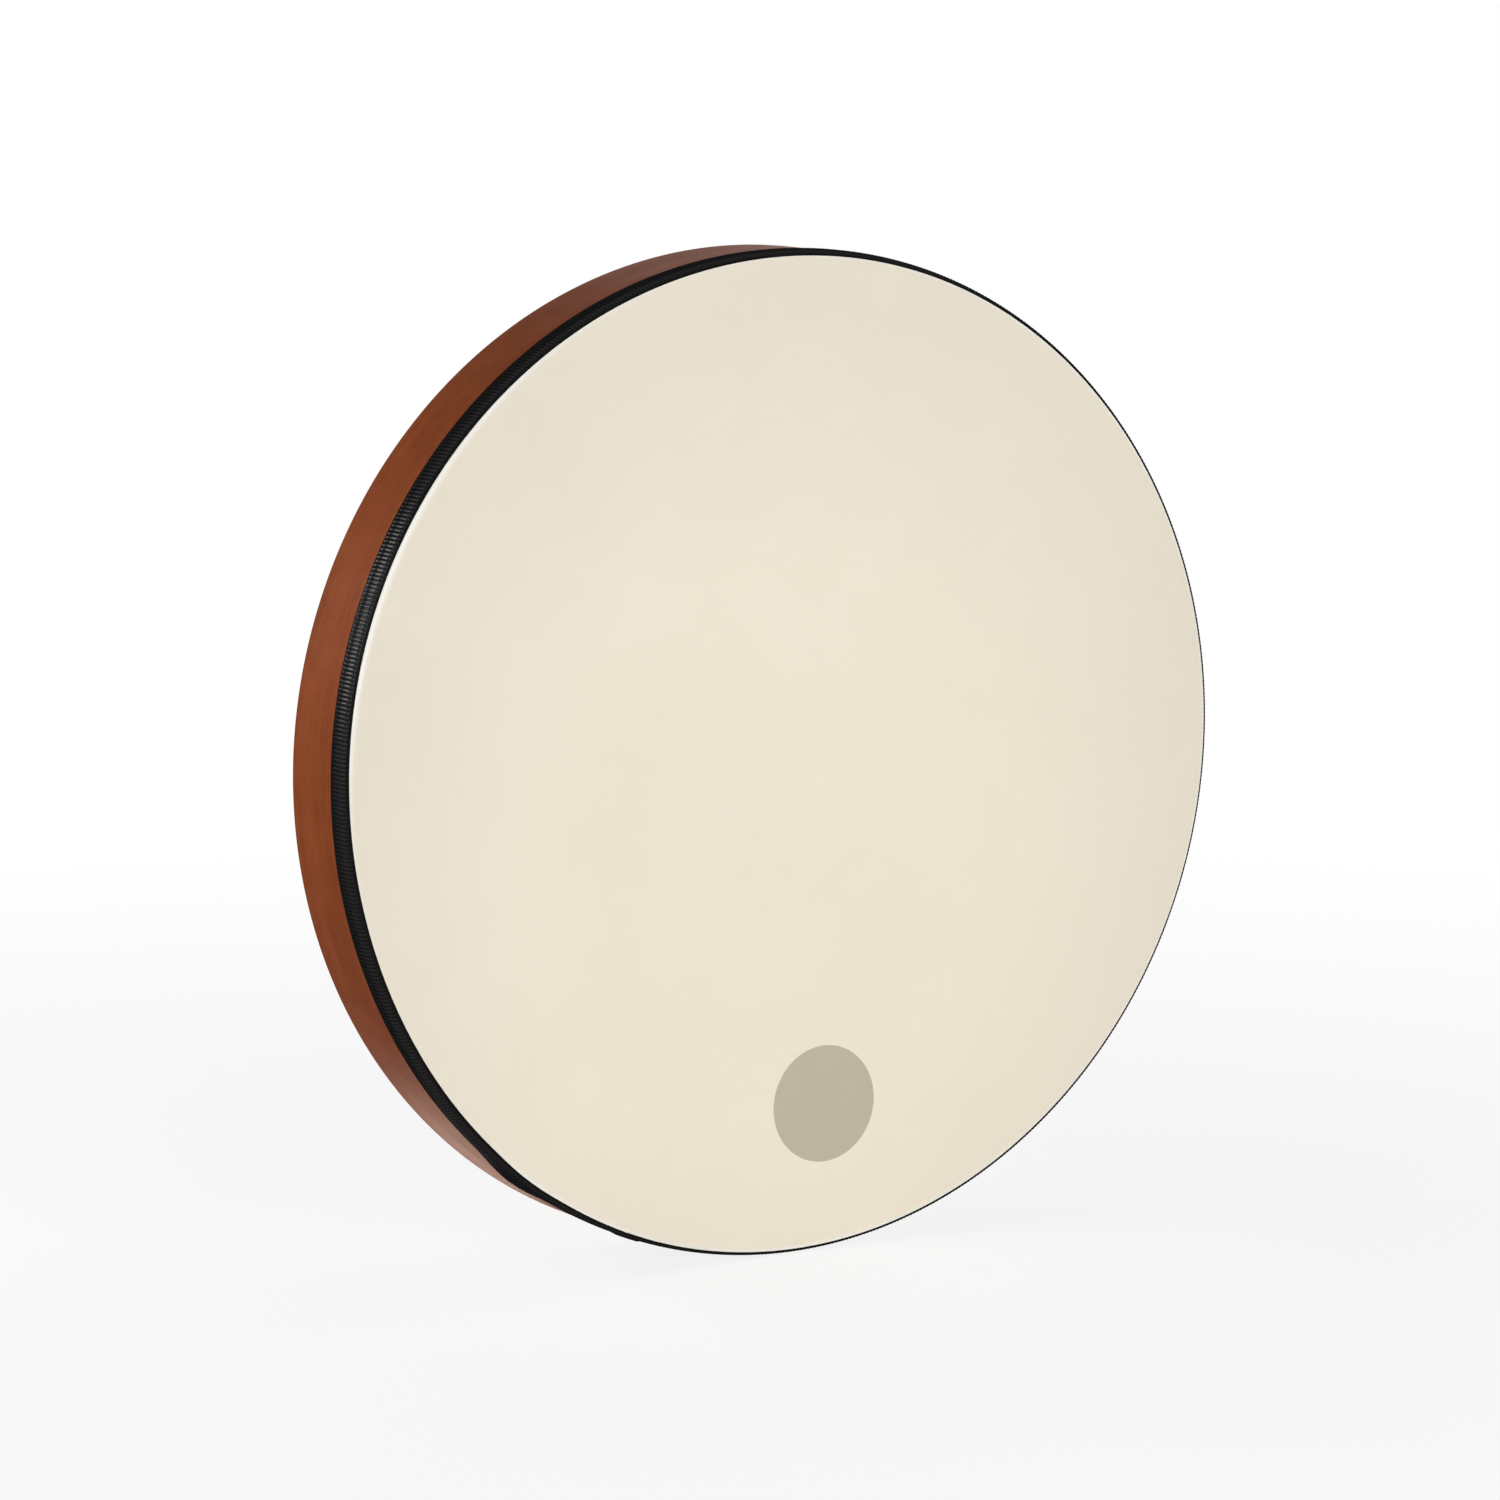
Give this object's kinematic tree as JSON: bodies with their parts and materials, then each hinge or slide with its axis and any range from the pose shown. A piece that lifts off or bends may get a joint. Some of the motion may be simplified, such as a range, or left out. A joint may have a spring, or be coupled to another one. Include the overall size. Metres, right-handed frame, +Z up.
{
  "type": "frame drum",
  "caption": "Shallow round frame drum, open at the back: stained wood hoop, glued cream film head, black ribbed ribbon round its edge and a plain printed disc.",
  "frame": {"origin": "top of the hoop's inner wall at half its depth, where a wall peg or a hook carries the hanging drum", "axes": "+Z up as the drum hangs, the head faces -Y and the open back faces +Y; the drum's axis runs along Y, 246 mm below the origin"},
  "size_m": [0.5096, 0.0574, 0.5096],
  "materials": {
    "hoop_wood": "reddish-brown stain under satin lacquer",
    "core_wood": "stained ply edges under satin lacquer",
    "head_film": "smooth satin cream film, slightly see-through",
    "ribbon_cloth": "black ribbed ribbon with a soft sheen",
    "disc_ink": "flat warm grey ink"
  },
  "bodies": {
    "root": {"outer_ply": "hoop_wood", "ply_4": "core_wood", "ply_3": "core_wood", "ply_2": "core_wood", "inner_ply": "hoop_wood", "head": "head_film", "ribbon": "ribbon_cloth", "printed_disc": "disc_ink"}
  },
  "joints": []
}
